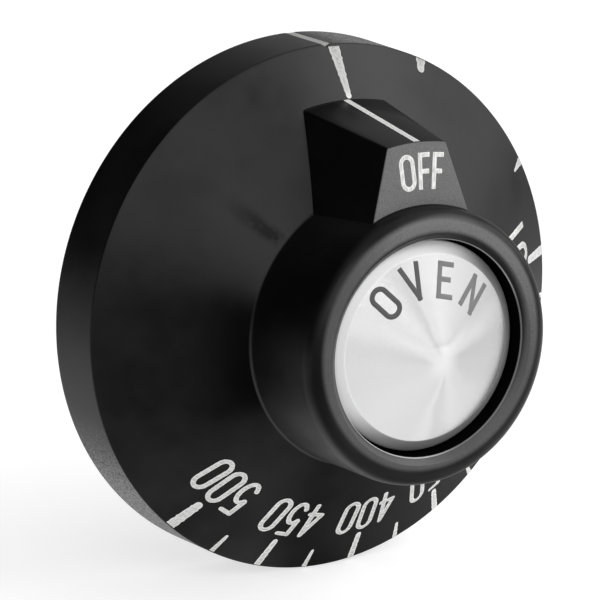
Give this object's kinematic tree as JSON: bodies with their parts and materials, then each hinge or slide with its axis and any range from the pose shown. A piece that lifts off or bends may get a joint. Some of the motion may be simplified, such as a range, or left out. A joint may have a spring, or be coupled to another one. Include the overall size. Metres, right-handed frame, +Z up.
{
  "type": "oven control knob",
  "caption": "Black moulded oven thermostat knob with a wide sloping dial skirt, a raised pointer, a round hub with a bright face disc and a D-shaped shaft socket behind.",
  "frame": {"origin": "on the shaft axis, in the plane of the skirt's back edge, which is also the mouth of the shaft socket", "axes": "+Y along the shaft towards the cooker, so the face looks towards -Y; +Z up to the pointer; +X to the right as seen from the front"},
  "size_m": [0.0635, 0.0329, 0.0634],
  "materials": {
    "black_phenolic": "satin moulding, sandy on the rim and on the pointer's face",
    "bright_aluminium": "pressed sheet, bright and finely brushed",
    "spring_steel": "rolled strip",
    "white_fill": "paint wiped into the engraved marks",
    "grey_ink": "ink printed on the face disc"
  },
  "bodies": {
    "root": {"knob_body": "black_phenolic", "face_disc": "bright_aluminium", "shaft_spring": "spring_steel"}
  },
  "joints": []
}
